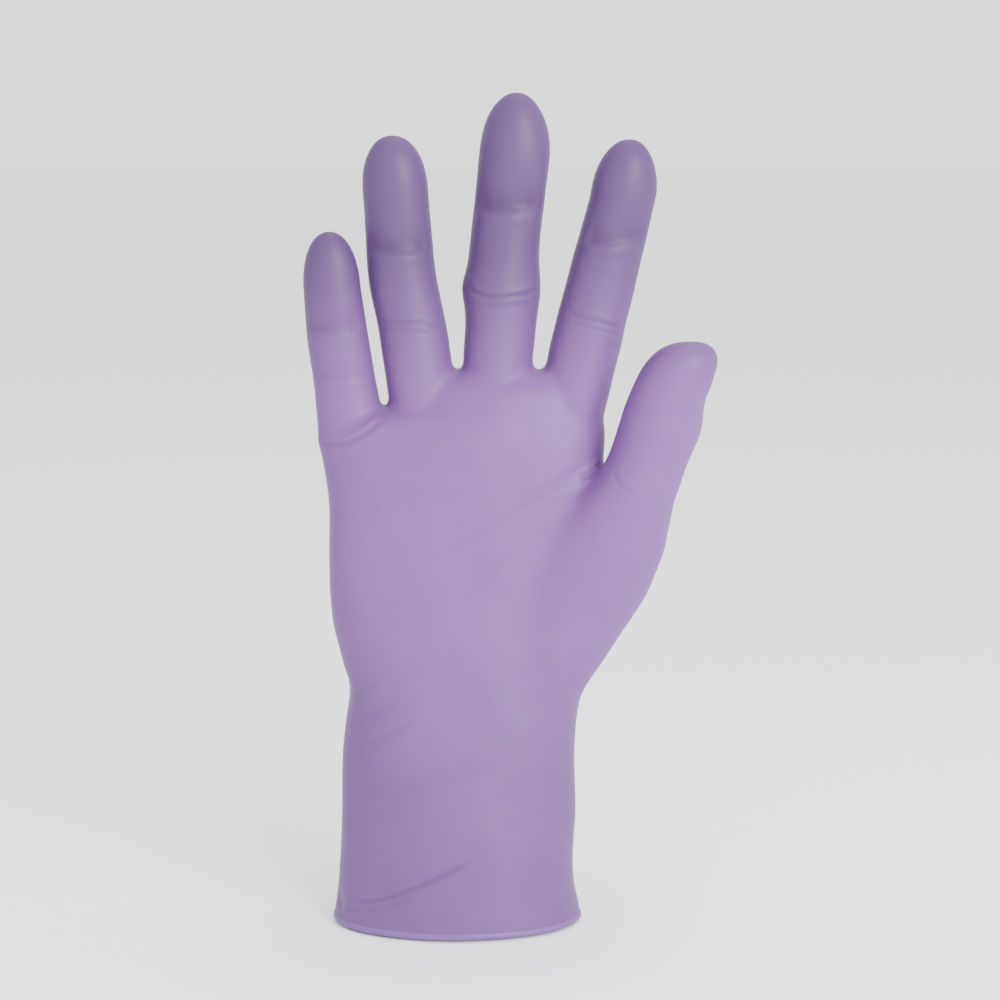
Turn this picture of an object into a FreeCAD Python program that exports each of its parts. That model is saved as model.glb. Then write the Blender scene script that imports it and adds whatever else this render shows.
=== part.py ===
import FreeCAD, Part
import os

# A thin dipped disposable glove, standing open on its cuff as a hand fills it.
# +Z runs from the cuff opening to the fingertips, the palm faces -Y and the thumb is at +X.
# The origin is the centre of the cuff opening, on the underside of its rolled bead.
# The glove is one elastic film. Each working zone of that film is one node: stiff tubes and
# shells that keep their shape, and between them the stretch films that bend.

doc = FreeCAD.newDocument("glove")

# ---------------------------------------------------------------- driving dimensions (mm, degrees)
FINGERS = ("index", "middle", "ring", "little")

SIZES = [
    ("film", 0.5, "wall of the film"),
    ("bead_radius", 1.2, "rolled bead at the opening"),
    ("bead_seat", 2.0, "height where the film runs into the bead"),
    ("open_overrun", 5.0, "how far the hollow runs past the opening"),
    ("hinge_gap", 0.4, "half of the film left between two stiff zones on their hinge line"),
    ("hinge_shift", 0.5, "hinge line's offset to the palm, as a share of the half depth"),
    ("back_open", 7.0, "half angle of a stretch film on the back of the hand"),
    ("clear_round", 3.0, "how far a zone's cutter stands outside the film"),
    # cuff, wrist and palm: height, middle, half width and half depth of each section
    ("rim_middle", 0.1, ""), ("rim_half_width", 34.4, ""), ("rim_half_depth", 23.0, ""),
    ("cuff_height", 45.0, ""), ("cuff_middle", 0.0, ""),
    ("cuff_half_width", 32.6, ""), ("cuff_half_depth", 20.0, ""),
    ("wrist_height", 68.0, ""), ("wrist_middle", 1.5, ""),
    ("wrist_half_width", 32.5, ""), ("wrist_half_depth", 18.0, ""),
    ("heel_height", 88.0, ""), ("heel_middle", 1.0, ""),
    ("heel_half_width", 36.2, ""), ("heel_half_depth", 17.0, ""),
    ("palm_height", 119.0, ""), ("palm_middle", 1.8, ""),
    ("palm_half_width", 38.8, ""), ("palm_half_depth", 16.5, ""),
    ("knuckle_height", 150.0, ""), ("knuckle_middle", 1.1, ""),
    ("knuckle_half_width", 42.5, ""), ("knuckle_half_depth", 16.0, ""),
    ("crown_height", 166.0, ""), ("crown_half_width", 43.0, ""), ("crown_half_depth", 15.5, ""),
    # the webs between the fingers lie on an arch
    ("web_arch_radius", 58.0, ""), ("web_arch_middle", 14.0, ""), ("web_arch_top", 158.5, ""),
    # wrist and knuckle folds
    ("wrist_fold_height", 52.0, ""), ("wrist_bend", 50.0, "most bend either way"),
    ("wrist_side_height", 69.0, ""), ("wrist_side_bend", 12.0, "most tilt either way"),
    ("knuckle_fold_height", 138.0, ""), ("knuckle_fold_middle", 5.0, ""),
    ("knuckle_fold_slope", 10.6, "rise of the knuckle line to the index side"),
    ("knuckle_fold_shift", 6.0, "hinge line's offset to the palm"),
    ("knuckle_bend", 45.0, "most bend to the palm"), ("knuckle_back", 14.0, "most bend back"),
    # bends of the fingers
    ("base_bend", 45.0, ""), ("mid_bend", 70.0, ""), ("end_bend", 45.0, ""),
    # depth of a finger as a share of its width, and its rest curl towards the palm
    ("finger_depth", 0.92, ""),
    ("curl_mid", 0.8, ""), ("curl_end", 3.0, ""), ("curl_tip", 6.0, ""),
    ("root_depth", 18.0, "how far a finger's tube runs down into the palm"),
    ("root_taper", 0.8, "size of the tube's inner end as a share of its root"),
    # thumb
    ("swing_height", 72.0, "foot of the thumb's swing line"), ("swing_foot", 40.5, ""),
    ("swing_slope", 2.9, "lean of the swing line"), ("swing_turn", -22.0, ""),
    ("swing_length", 66.0, ""), ("swing_bend", 26.0, "most swing to the palm"),
    ("swing_reach", 22.0, ""),
    ("thumb_turn", -40.0, "turn of the thumb's hinge lines about the vertical"),
    ("thumb_base_hinge", 133.0, ""), ("thumb_base_bend", 45.0, ""),
    ("thumb_end_hinge", 148.0, ""), ("thumb_end_bend", 60.0, ""),
    ("thumb_dome", 11.5, ""),
]

# root position and height, lean, hinge turn, then places along the finger and half widths there
FINGER_SIZES = {
    "index": (35.0, 161.7, 12.8, 9.6, 10.4, 33.8, 52.0, 9.5, 9.6, 9.6, 9.3, 8.4),
    "middle": (11.3, 161.7, 4.2, 2.0, 19.5, 43.8, 62.0, 10.9, 9.8, 10.3, 9.7, 9.2),
    "ring": (-11.7, 160.3, -6.6, -3.3, 10.6, 32.7, 53.0, 9.7, 9.5, 9.6, 9.2, 8.4),
    "little": (-31.2, 149.8, -7.0, -3.5, 8.3, 21.2, 38.5, 8.8, 9.1, 8.6, 8.3, 7.3),
}
FINGER_NAMES = ("root_middle", "root_height", "lean", "turn", "mid_place", "end_place",
                "dome_place", "dome", "root_half_width", "mid_half_width", "end_half_width",
                "tip_half_width")
for finger in FINGERS:
    for name, value in zip(FINGER_NAMES, FINGER_SIZES[finger]):
        SIZES.append((f"{finger}_{name}", value, ""))

# thumb sections, from inside the heel of the hand to the start of its dome
THUMB_SECTIONS = {
    "foot": (72.0, 20.0, -3.0, 14.0, 13.0),
    "heel": (88.0, 30.0, -4.0, 18.3, 15.0),
    "mount": (107.0, 41.0, -7.0, 17.2, 14.0),
    "web": (119.0, 46.5, -9.0, 14.2, 12.6),
    "base": (131.0, 52.6, -11.2, 11.9, 11.4),
    "end": (144.0, 57.0, -14.0, 11.3, 10.4),
    "dome": (155.0, 60.9, -17.2, 10.6, 9.4),
}
for section, values in THUMB_SECTIONS.items():
    names = ("height", "middle", "front", "half_width", "half_depth")
    for name, value in zip(names, values):
        SIZES.append((f"thumb_{section}_{name}", value, ""))

sheet = doc.addObject("Spreadsheet::Sheet", "Sizes")
for row, (alias, value, note) in enumerate(SIZES, start=1):
    sheet.set(f"A{row}", alias)
    sheet.set(f"B{row}", str(value))
    sheet.set(f"C{row}", note)
    sheet.setAlias(f"B{row}", alias)
doc.recompute()

TUBE = "(1 - Sizes.hinge_shift)"


# ---------------------------------------------------------------- small makers
def bind(thing, **expressions):
    """Ties an object's properties to the sheet."""
    for name, expression in expressions.items():
        thing.setExpression(name, expression)
    return thing


def placed(x, y, z, turn="create(<<rotation>>; create(<<vector>>; 0; 0; 1); 0)"):
    """A placement expression: a point, then a rotation."""
    return f"create(<<placement>>; create(<<vector>>; {x}; {y}; {z}); {turn})"


def about(axis, angle):
    """A rotation expression about a row axis."""
    x, y, z = {"x": (1, 0, 0), "y": (0, 1, 0), "z": (0, 0, 1)}[axis]
    return f"create(<<rotation>>; create(<<vector>>; {x}; {y}; {z}); {angle})"


def joined(kind, label, base, tool):
    """A boolean of two objects."""
    made = doc.addObject(kind, label)
    made.Base = base
    made.Tool = tool
    return made


def fused(label, pieces):
    """One solid from several that overlap."""
    made = doc.addObject("Part::MultiFuse", label)
    made.Shapes = list(pieces)
    return made


def tube(label, sections, shrink):
    """A closed tube through elliptical sections (x, y, z, half width, half depth)."""
    rings = []
    for number, (x, y, z, wide, deep) in enumerate(sections):
        ring = doc.addObject("Part::Ellipse", f"{label}_ring{number}")
        bind(ring, MajorRadius=f"{wide} - {shrink}", MinorRadius=f"{deep} - {shrink}",
             Placement=placed(x, y, z))
        rings.append(ring)
    loft = doc.addObject("Part::Loft", label)
    loft.Sections = rings
    loft.Solid = True
    loft.Ruled = False
    return loft


def dome(label, section, height, shrink):
    """The rounded end that closes a tube."""
    x, y, z, wide, deep = section
    end = doc.addObject("Part::Ellipsoid", label)
    end.Angle1 = 0
    end.Angle2 = 90
    bind(end, Radius1=f"{height} - {shrink}", Radius2=f"{wide} - {shrink}",
         Radius3=f"{deep} - {shrink}", Placement=placed(x, y, z))
    return end


def hinge_zone(label, place, reach, front, back, open_front, open_back):
    """The bow-tie space of a stretch film: its waist is the hinge line, along X, its front
    wedge lets the bend close and its back wedge lets it open again."""
    wedges = []
    for side, length, half_angle in (("front", front, open_front), ("back", back, open_back)):
        wedge = doc.addObject("Part::Wedge", f"{label}_{side}")
        mouth = f"(Sizes.hinge_gap + {length} * tan({half_angle}))"
        flip = side == "front"
        bind(wedge, Xmin=f"-({reach})", X2min=f"-({reach})", Xmax=reach, X2max=reach,
             Ymin=f"-({length})" if flip else "0", Ymax="0" if flip else length,
             Zmin=f"-{mouth}" if flip else "-Sizes.hinge_gap",
             Zmax=mouth if flip else "Sizes.hinge_gap",
             Z2min="-Sizes.hinge_gap" if flip else f"-{mouth}",
             Z2max="Sizes.hinge_gap" if flip else mouth, Placement=place)
        wedges.append(wedge)
    return fused(label, wedges)


def halfspace(label, place, across, deep, tall):
    """A block that stands on the plane of a hinge and holds everything beyond it."""
    block = doc.addObject("Part::Box", f"{label}_block")
    bind(block, Length=f"2 * {across}", Width=f"2 * {deep}", Height=f"{tall}",
         Placement=f"{place} * " + placed(f"-{across}", f"-{deep}", "0"))
    return block


class Hinge:
    """A stretch film's zone with the spaces before and beyond it."""

    def __init__(self, label, place, reach, front, back, open_front, open_back,
                 block=(60, 40, 120)):
        across, deep, tall = block
        self.zone = hinge_zone(f"{label}_zone", place, reach, front, back, open_front, open_back)
        self.block = halfspace(label, place, across, deep, tall)
        self.beyond = fused(f"{label}_beyond", (self.block, self.zone))
        self.past = joined("Part::Cut", f"{label}_past", self.block, self.zone)


NODES = []


def node(thing, label):
    """Names a finished sub-part."""
    thing.Label = label
    NODES.append(thing)
    return thing


def zone_film(label, shell, hinge):
    """The stretch film of one hinge."""
    return node(joined("Part::Common", f"{label}_solid", shell, hinge.zone), label)


def stiff(label, shell, low, high):
    """The stiff zone of a shell from one hinge to the next."""
    above = joined("Part::Common", f"{label}_above", shell, low.past)
    if high is None:
        return node(above, label)
    return node(joined("Part::Cut", f"{label}_solid", above, high.beyond), label)


# ---------------------------------------------------------------- palm, wrist and cuff
def palm_sections():
    """Elliptical sections from below the rim to above the webs."""
    rows = [("rim", "-Sizes.open_overrun"), ("rim", "0")]
    rows += [(name, f"Sizes.{name}_height")
             for name in ("cuff", "wrist", "heel", "palm", "knuckle")]
    sections = [(f"Sizes.{name}_middle", "0", height, f"Sizes.{name}_half_width",
                 f"Sizes.{name}_half_depth") for name, height in rows]
    sections.append(("Sizes.knuckle_middle", "0", "Sizes.crown_height",
                     "Sizes.crown_half_width", "Sizes.crown_half_depth"))
    return sections


def web_arch(label, shrink):
    """Everything under the arch on which the webs lie."""
    centre = "(Sizes.web_arch_top - Sizes.web_arch_radius)"
    arch = doc.addObject("Part::Cylinder", f"{label}_arch")
    bind(arch, Radius=f"Sizes.web_arch_radius - {shrink}", Height="80",
         Placement=placed("Sizes.web_arch_middle", "40", centre, about("x", 90)))
    column = doc.addObject("Part::Box", f"{label}_column")
    bind(column, Length="120", Width="80", Height=f"{centre} + Sizes.open_overrun + 1",
         Placement=placed("-60", "-40", "-Sizes.open_overrun - 1"))
    return fused(label, (arch, column))


palm_outside = joined("Part::Common", "palm_outside", tube("palm_outer", palm_sections(), "0"),
                      web_arch("web_outer", "0"))
palm_inside = joined("Part::Common", "palm_inside",
                     tube("palm_inner", palm_sections(), "Sizes.film"),
                     web_arch("web_inner", "Sizes.film"))

# ---------------------------------------------------------------- fingers
# Each finger is a leaning tube with a rounded end. Its hinge lines lie level from front to back
# and are turned a little from square to the finger, so that a closed hand's fingers lie side
# by side.
outer_stubs, inner_tubes, finger_tubes, finger_hinges = [], [], {}, {}

for finger in FINGERS:
    value = {name: f"Sizes.{finger}_{name}" for name in FINGER_NAMES}
    foot = placed(value["root_middle"], "0", value["root_height"], about("y", value["lean"]))

    taper = f"{value['root_half_width']} * Sizes.root_taper"
    rows = (("-Sizes.root_depth", "0", taper), ("0", "0", value["root_half_width"]),
            (value["mid_place"], "-Sizes.curl_mid", value["mid_half_width"]),
            (value["end_place"], "-Sizes.curl_end", value["end_half_width"]),
            (value["dome_place"], "-Sizes.curl_tip", value["tip_half_width"]))
    sections = [("0", y, z, wide, f"{wide} * Sizes.finger_depth") for z, y, wide in rows]

    skins = []
    for side, shrink in (("outer", "0"), ("inner", "Sizes.film")):
        whole = fused(f"{finger}_{side}", (tube(f"{finger}_{side}_tube", sections, shrink),
                      dome(f"{finger}_{side}_dome", sections[-1], value["dome"], shrink)))
        bind(whole, Placement=foot)
        skins.append(whole)
    outer, inner = skins
    finger_tubes[finger] = joined("Part::Cut", f"{finger}_film", outer, inner)

    hinges = []
    bends = (("base", "0", "0", value["root_half_width"], "Sizes.base_bend"),
             ("mid", value["mid_place"], "Sizes.curl_mid", value["mid_half_width"],
              "Sizes.mid_bend"),
             ("end", value["end_place"], "Sizes.curl_end", value["end_half_width"],
              "Sizes.end_bend"))
    for name, along, curl, wide, bend in bends:
        deep = f"{wide} * Sizes.finger_depth"
        x = f"{value['root_middle']} + {along} * sin({value['lean']})"
        y = f"-{curl} - Sizes.hinge_shift * {deep}"
        z = f"{value['root_height']} + {along} * cos({value['lean']})"
        hinges.append(Hinge(f"{finger}_{name}", placed(x, y, z, about("y", value["turn"])),
                            f"({wide} + Sizes.clear_round)",
                            f"({deep} * {TUBE} + Sizes.clear_round)",
                            f"({deep} * (1 + Sizes.hinge_shift) + Sizes.clear_round)",
                            f"{bend} / 2", "Sizes.back_open", block=(40, 40, 90)))
    finger_hinges[finger] = hinges

    outer_stubs.append(joined("Part::Cut", f"{finger}_stub", outer, hinges[0].beyond))
    inner_tubes.append(inner)

# ---------------------------------------------------------------- thumb
thumb_sections = [tuple(f"Sizes.thumb_{name}_{size}" for size in
                        ("middle", "front", "height", "half_width", "half_depth"))
                  for name in THUMB_SECTIONS]
thumb_skins = []
for side, shrink in (("outer", "0"), ("inner", "Sizes.film")):
    thumb_skins.append(fused(f"thumb_{side}", (
        tube(f"thumb_{side}_tube", thumb_sections, shrink),
        dome(f"thumb_{side}_dome", thumb_sections[-1], "Sizes.thumb_dome", shrink))))
thumb_outer, thumb_inner = thumb_skins
thumb_tube = joined("Part::Cut", "thumb_film", thumb_outer, thumb_inner)

thumb_hinges = []
for name, low, high in (("base", "base", "end"), ("end", "end", "dome")):
    share = (f"((Sizes.thumb_{name}_hinge - Sizes.thumb_{low}_height)"
             f" / (Sizes.thumb_{high}_height - Sizes.thumb_{low}_height))")
    at_hinge = {}
    for size in ("middle", "front", "half_width", "half_depth"):
        start = f"Sizes.thumb_{low}_{size}"
        at_hinge[size] = f"({start} + {share} * (Sizes.thumb_{high}_{size} - {start}))"
    deep = at_hinge["half_depth"]
    shift = f"Sizes.hinge_shift * {deep}"
    x = f"{at_hinge['middle']} + {shift} * sin(Sizes.thumb_turn)"
    y = f"{at_hinge['front']} - {shift} * cos(Sizes.thumb_turn)"
    place = placed(x, y, f"Sizes.thumb_{name}_hinge", about("z", "Sizes.thumb_turn"))
    thumb_hinges.append(Hinge(f"thumb_{name}", place,
                              f"({at_hinge['half_width']} + Sizes.clear_round)",
                              f"({deep} * {TUBE} + Sizes.clear_round)",
                              f"({deep} * (1 + Sizes.hinge_shift) + Sizes.clear_round)",
                              f"Sizes.thumb_{name}_bend / 2", "Sizes.back_open",
                              block=(40, 40, 60)))
thumb_stub = joined("Part::Cut", "thumb_stub", thumb_outer, thumb_hinges[0].beyond)

# ---------------------------------------------------------------- the film of hand and cuff
body_outer = fused("body_outer", [palm_outside, *outer_stubs, thumb_stub])
body_inner = fused("body_inner", [palm_inside, *inner_tubes, thumb_inner])
body_film = joined("Part::Cut", "body_film", body_outer, body_inner)
under_rim = bind(doc.addObject("Part::Box", "under_rim"), Length="200", Width="120",
                 Height="Sizes.open_overrun + 10 + Sizes.bead_seat",
                 Placement=placed("-100", "-60", "-Sizes.open_overrun - 10"))
hand_film = joined("Part::Cut", "hand_film", body_film, under_rim)

wrist_fold = Hinge("wrist_fold", placed("Sizes.cuff_middle", "0", "Sizes.wrist_fold_height"),
                   "(Sizes.cuff_half_width + Sizes.clear_round)",
                   "(Sizes.cuff_half_depth + Sizes.clear_round)",
                   "(Sizes.cuff_half_depth + Sizes.clear_round)",
                   "Sizes.wrist_bend / 2", "Sizes.wrist_bend / 2", block=(90, 70, 200))
wrist_side = Hinge("wrist_side", placed("Sizes.wrist_middle", "0", "Sizes.wrist_side_height",
                                        about("z", 90)),
                   "(Sizes.wrist_half_depth + Sizes.clear_round)",
                   "(Sizes.wrist_half_width + Sizes.clear_round)",
                   "(Sizes.wrist_half_width + Sizes.clear_round)",
                   "Sizes.wrist_side_bend / 2", "Sizes.wrist_side_bend / 2",
                   block=(70, 90, 200))
knuckle_fold = Hinge("knuckle_fold",
                     placed("Sizes.knuckle_fold_middle", "-Sizes.knuckle_fold_shift",
                            "Sizes.knuckle_fold_height", about("y", "-Sizes.knuckle_fold_slope")),
                     "(Sizes.knuckle_half_width + Sizes.clear_round)",
                     "(Sizes.knuckle_half_depth - Sizes.knuckle_fold_shift + Sizes.clear_round)",
                     "(Sizes.knuckle_half_depth + Sizes.knuckle_fold_shift + Sizes.clear_round)",
                     "Sizes.knuckle_bend / 2", "Sizes.knuckle_back / 2", block=(90, 70, 90))
along = "Sizes.swing_length / 2"
thumb_swing = Hinge("thumb_swing",
                    placed(f"Sizes.swing_foot + {along} * sin(Sizes.swing_slope)", "0",
                           f"Sizes.swing_height + {along} * cos(Sizes.swing_slope)",
                           about("y", "Sizes.swing_slope") + " * "
                           + about("z", "Sizes.swing_turn") + " * " + about("y", "90")),
                    f"({along})", "Sizes.swing_reach", "Sizes.swing_reach",
                    "Sizes.swing_bend / 2", "Sizes.back_open", block=(48, 40, 60))

# The rolled bead: the film's end rolled up into a round cord, with a flat on top where the
# film runs into it.
rim_line = bind(doc.addObject("Part::Ellipse", "rim_line"),
                MajorRadius="Sizes.rim_half_width - Sizes.film / 2",
                MinorRadius="Sizes.rim_half_depth - Sizes.film / 2",
                Placement=placed("Sizes.rim_middle", "0", "Sizes.bead_radius"))
roll = bind(doc.addObject("Part::Circle", "roll"), Radius="Sizes.bead_radius",
            Placement=placed("Sizes.rim_middle + Sizes.rim_half_width - Sizes.film / 2", "0",
                             "Sizes.bead_radius", about("x", 90)))
bead_ring = doc.addObject("Part::Sweep", "bead_ring")
bead_ring.Sections = [roll]
bead_ring.Spine = (rim_line, ["Edge1"])
bead_ring.Solid = True
over_seat = bind(doc.addObject("Part::Box", "over_seat"), Length="200", Width="120",
                 Height="2 * Sizes.bead_radius",
                 Placement=placed("-100", "-60", "Sizes.bead_seat"))
node(joined("Part::Cut", "rolled_bead_solid", bead_ring, over_seat), "rolled_bead")

# Cuff, wrist band, hand, knuckle band and the films between them.
node(joined("Part::Cut", "cuff_solid", hand_film, wrist_fold.beyond), "cuff")
zone_film("wrist_fold_film", hand_film, wrist_fold)
stiff("wrist_band", hand_film, wrist_fold, wrist_side)
zone_film("wrist_side_film", hand_film, wrist_side)
hand_above = joined("Part::Common", "hand_above", hand_film, wrist_side.past)
hand_and_thumb = joined("Part::Cut", "hand_and_thumb", hand_above, knuckle_fold.beyond)
node(joined("Part::Cut", "hand_solid", hand_and_thumb, thumb_swing.beyond), "hand")
zone_film("knuckle_film", hand_film, knuckle_fold)
stiff("knuckle_band", hand_film, knuckle_fold, None)

# Thumb.
zone_film("thumb_web_film", hand_and_thumb, thumb_swing)
node(joined("Part::Common", "thumb_base_solid", hand_and_thumb, thumb_swing.past), "thumb_base")
zone_film("thumb_base_film", thumb_tube, thumb_hinges[0])
stiff("thumb_lower", thumb_tube, thumb_hinges[0], thumb_hinges[1])
zone_film("thumb_end_film", thumb_tube, thumb_hinges[1])
stiff("thumb_tip", thumb_tube, thumb_hinges[1], None)

# Fingers.
for finger in FINGERS:
    base, mid, end = finger_hinges[finger]
    shell = finger_tubes[finger]
    zone_film(f"{finger}_base_film", shell, base)
    stiff(f"{finger}_lower", shell, base, mid)
    zone_film(f"{finger}_mid_film", shell, mid)
    stiff(f"{finger}_middle", shell, mid, end)
    zone_film(f"{finger}_end_film", shell, end)
    stiff(f"{finger}_tip", shell, end, None)

# ---------------------------------------------------------------- build, check, write
doc.recompute()
for thing in doc.Objects:
    if "Invalid" in thing.State or "Error" in thing.State:
        raise RuntimeError(f"{thing.Label}: {thing.State}")
for piece in NODES:
    shape = piece.Shape
    if shape.isNull() or not shape.isValid() or not shape.Solids:
        raise RuntimeError(f"{piece.Label}: no valid solid")

os.makedirs("parts", exist_ok=True)
for piece in NODES:
    piece.Shape.exportStep(os.path.join("parts", f"{piece.Label}.step"))
    print(f"{piece.Label}: {len(piece.Shape.Solids)} solid, {piece.Shape.Volume:.1f} mm3")
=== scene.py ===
import math

import bmesh
import bpy
import numpy as np
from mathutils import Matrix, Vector


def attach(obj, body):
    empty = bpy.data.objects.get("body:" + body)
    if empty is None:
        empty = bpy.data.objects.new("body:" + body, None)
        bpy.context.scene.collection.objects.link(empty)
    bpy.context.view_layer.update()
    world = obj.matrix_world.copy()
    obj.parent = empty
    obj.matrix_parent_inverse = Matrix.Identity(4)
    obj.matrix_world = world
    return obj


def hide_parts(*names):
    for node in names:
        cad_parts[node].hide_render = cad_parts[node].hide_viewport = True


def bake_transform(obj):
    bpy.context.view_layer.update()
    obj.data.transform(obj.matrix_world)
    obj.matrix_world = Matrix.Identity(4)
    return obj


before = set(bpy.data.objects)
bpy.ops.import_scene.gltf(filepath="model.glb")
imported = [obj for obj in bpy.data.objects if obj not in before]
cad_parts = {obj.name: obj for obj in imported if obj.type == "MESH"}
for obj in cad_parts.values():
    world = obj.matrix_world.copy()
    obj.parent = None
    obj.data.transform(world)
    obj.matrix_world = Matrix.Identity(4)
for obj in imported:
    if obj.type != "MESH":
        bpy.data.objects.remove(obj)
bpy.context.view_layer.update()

# ---------------------------------------------------------------------------------------------
# The former: the hand-shaped body that a glove film is dipped on, which gives the film its shape.
# Every stretch is a closed tube of oval rings. A ring is (x, y, z, half width, front half depth,
# back half depth, squareness), in millimetres.
PALM_RINGS = [
    (-0.3, 0.0, -6.0, 36.0, 23.6, 22.8, 2.0),
    (-0.3, 0.0, 3.0, 35.4, 23.1, 22.2, 2.0),
    (-0.7, 0.0, 10.0, 34.2, 22.2, 21.4, 2.0),
    (-0.7, 0.0, 18.0, 33.7, 21.4, 20.6, 2.0),
    (-0.2, 0.0, 30.0, 33.5, 20.6, 20.0, 2.05),
    (0.0, 0.0, 44.0, 33.5, 19.6, 19.0, 2.1),
    (0.4, 0.0, 56.0, 33.2, 18.8, 17.8, 2.15),
    (1.5, 0.2, 66.0, 33.3, 18.4, 16.8, 2.2),
    (0.6, 0.4, 76.0, 34.1, 18.0, 15.9, 2.3),
    (-0.1, 0.6, 88.0, 35.9, 17.4, 15.2, 2.4),
    (0.5, 0.8, 104.0, 37.4, 16.4, 14.8, 2.5),
    (1.4, 0.8, 120.0, 38.4, 15.6, 14.4, 2.55),
    (1.4, 0.6, 134.0, 39.6, 15.0, 14.0, 2.5),
    (1.3, 0.4, 140.0, 40.0, 14.2, 13.4, 2.4),
    (3.0, 0.3, 144.0, 37.6, 13.0, 12.4, 2.3),
    (10.6, 0.1, 148.0, 28.0, 11.8, 11.2, 2.2),
    (11.6, 0.1, 153.0, 25.0, 10.4, 10.0, 2.2),
    (13.0, 0.0, 157.3, 17.0, 7.4, 7.2, 2.1),
]
FINGER_RINGS = {
    "index": [
        (29.5, 0.4, 134.0, 8.6, 8.0, 8.0, 2.0),
        (33.0, 0.0, 152.0, 9.7, 9.3, 8.9, 2.0),
        (36.1, -0.4, 166.0, 10.0, 9.1, 9.0, 2.0),
        (38.7, -0.9, 178.0, 9.8, 9.0, 9.0, 2.0),
        (43.0, -2.6, 195.0, 9.5, 8.6, 8.5, 2.0),
        (45.5, -4.4, 206.0, 9.2, 8.4, 8.0, 2.0),
    ],
    "middle": [
        (9.8, 0.4, 134.0, 9.0, 8.4, 8.2, 2.0),
        (10.9, 0.0, 154.0, 9.8, 9.4, 9.0, 2.0),
        (11.9, -0.4, 170.0, 9.9, 9.4, 9.2, 2.0),
        (12.2, -0.9, 180.0, 10.7, 9.8, 9.4, 2.0),
        (12.8, -1.8, 190.0, 9.9, 9.2, 9.0, 2.0),
        (14.4, -3.2, 204.0, 9.7, 9.0, 8.8, 2.0),
        (15.6, -5.0, 217.0, 9.7, 8.8, 8.6, 2.0),
    ],
    "ring": [
        (-9.0, 0.4, 132.0, 8.8, 8.2, 8.0, 2.0),
        (-10.1, 0.0, 152.0, 9.5, 9.2, 8.8, 2.0),
        (-12.3, -0.5, 168.0, 9.6, 9.1, 8.9, 2.0),
        (-14.7, -1.4, 181.0, 9.6, 9.0, 8.8, 2.0),
        (-16.1, -3.0, 196.0, 9.3, 8.6, 8.5, 2.0),
        (-16.8, -4.6, 207.0, 9.2, 8.4, 8.2, 2.0),
    ],
    "little": [
        (-29.0, 0.6, 126.0, 8.4, 7.6, 7.4, 2.0),
        (-30.5, 0.0, 146.0, 9.1, 8.2, 8.0, 2.0),
        (-31.8, -0.5, 156.0, 8.9, 8.0, 7.9, 2.0),
        (-33.3, -1.4, 168.0, 8.6, 7.8, 7.7, 2.0),
        (-34.8, -3.0, 181.0, 8.1, 7.4, 7.2, 2.0),
    ],
    "thumb": [
        (4.0, -0.6, 60.0, 22.0, 11.0, 11.0, 2.1),
        (13.0, -1.2, 68.0, 23.4, 13.0, 12.0, 2.1),
        (20.4, -1.6, 76.0, 21.6, 14.0, 12.4, 2.1),
        (27.4, -2.0, 85.0, 20.0, 14.2, 12.6, 2.1),
        (34.0, -3.0, 95.0, 19.9, 14.0, 12.6, 2.1),
        (39.0, -4.6, 105.0, 18.6, 13.6, 12.6, 2.1),
        (43.2, -6.8, 115.0, 16.4, 12.8, 12.0, 2.1),
        (47.9, -9.6, 124.0, 13.8, 12.0, 11.4, 2.0),
        (52.4, -11.6, 133.0, 11.9, 11.2, 11.0, 2.0),
        (55.5, -13.8, 143.0, 11.5, 10.6, 10.4, 2.0),
        (57.5, -15.8, 151.0, 11.2, 9.8, 9.8, 2.0),
        (59.7, -17.2, 158.0, 10.5, 9.0, 9.0, 2.1),
    ],
}
# rounded tips: (x, y, z) of the top and how full the end is
TIPS = {
    "index": (46.8, -6.6, 221.6, 2.1),
    "middle": (16.4, -7.2, 234.4, 2.1),
    "ring": (-17.4, -7.0, 222.6, 2.1),
    "little": (-35.2, -5.4, 196.6, 2.2),
    "thumb": (63.6, -18.6, 167.2, 2.6),
}
MM = 0.001           # a millimetre in metres
AROUND = 48          # points around a ring
GRID = 0.65          # mesh size of the film, in millimetres


def oval(ring):
    """The points of one ring."""
    x, y, z, wide, front, back, square = ring
    turn = np.arange(AROUND) * 2 * math.pi / AROUND
    c, s = np.cos(turn), np.sin(turn)
    px = x + wide * np.sign(c) * np.abs(c) ** (2 / square)
    deep = np.where(s < 0, front, back)
    py = y + deep * np.sign(s) * np.abs(s) ** (2 / square)
    return np.stack([px, py, np.full(AROUND, z)], axis=1)


def smooth_rings(rings, per=8):
    """Rings between the given ones, on a smooth curve through all of their numbers."""
    table = np.array(rings, float)
    full = np.vstack([2 * table[0] - table[1], table, 2 * table[-1] - table[-2]])
    out = []
    for k in range(1, len(full) - 2):
        a, b, c, d = full[k - 1:k + 3]
        for t in np.arange(per) / per:
            out.append(0.5 * (2 * b + (c - a) * t + (2 * a - 5 * b + 4 * c - d) * t ** 2
                              + (3 * b - a - 3 * c + d) * t ** 3))
    out.append(table[-1])
    return out


def rounded_end(last, tip, steps=12):
    """Rings that close a tube in a rounded end at its tip."""
    x, y, z, full = tip
    rings = []
    for t in np.linspace(0, 1, steps + 1)[1:]:
        angle = t * math.pi / 2
        rise, size = math.sin(angle), max(math.cos(angle), 1e-3) ** (2 / full)
        ring = np.array(last, float)
        ring[:3] += (np.array([x, y, z]) - ring[:3]) * rise
        ring[3:6] *= size
        rings.append(ring)
    return rings


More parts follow.
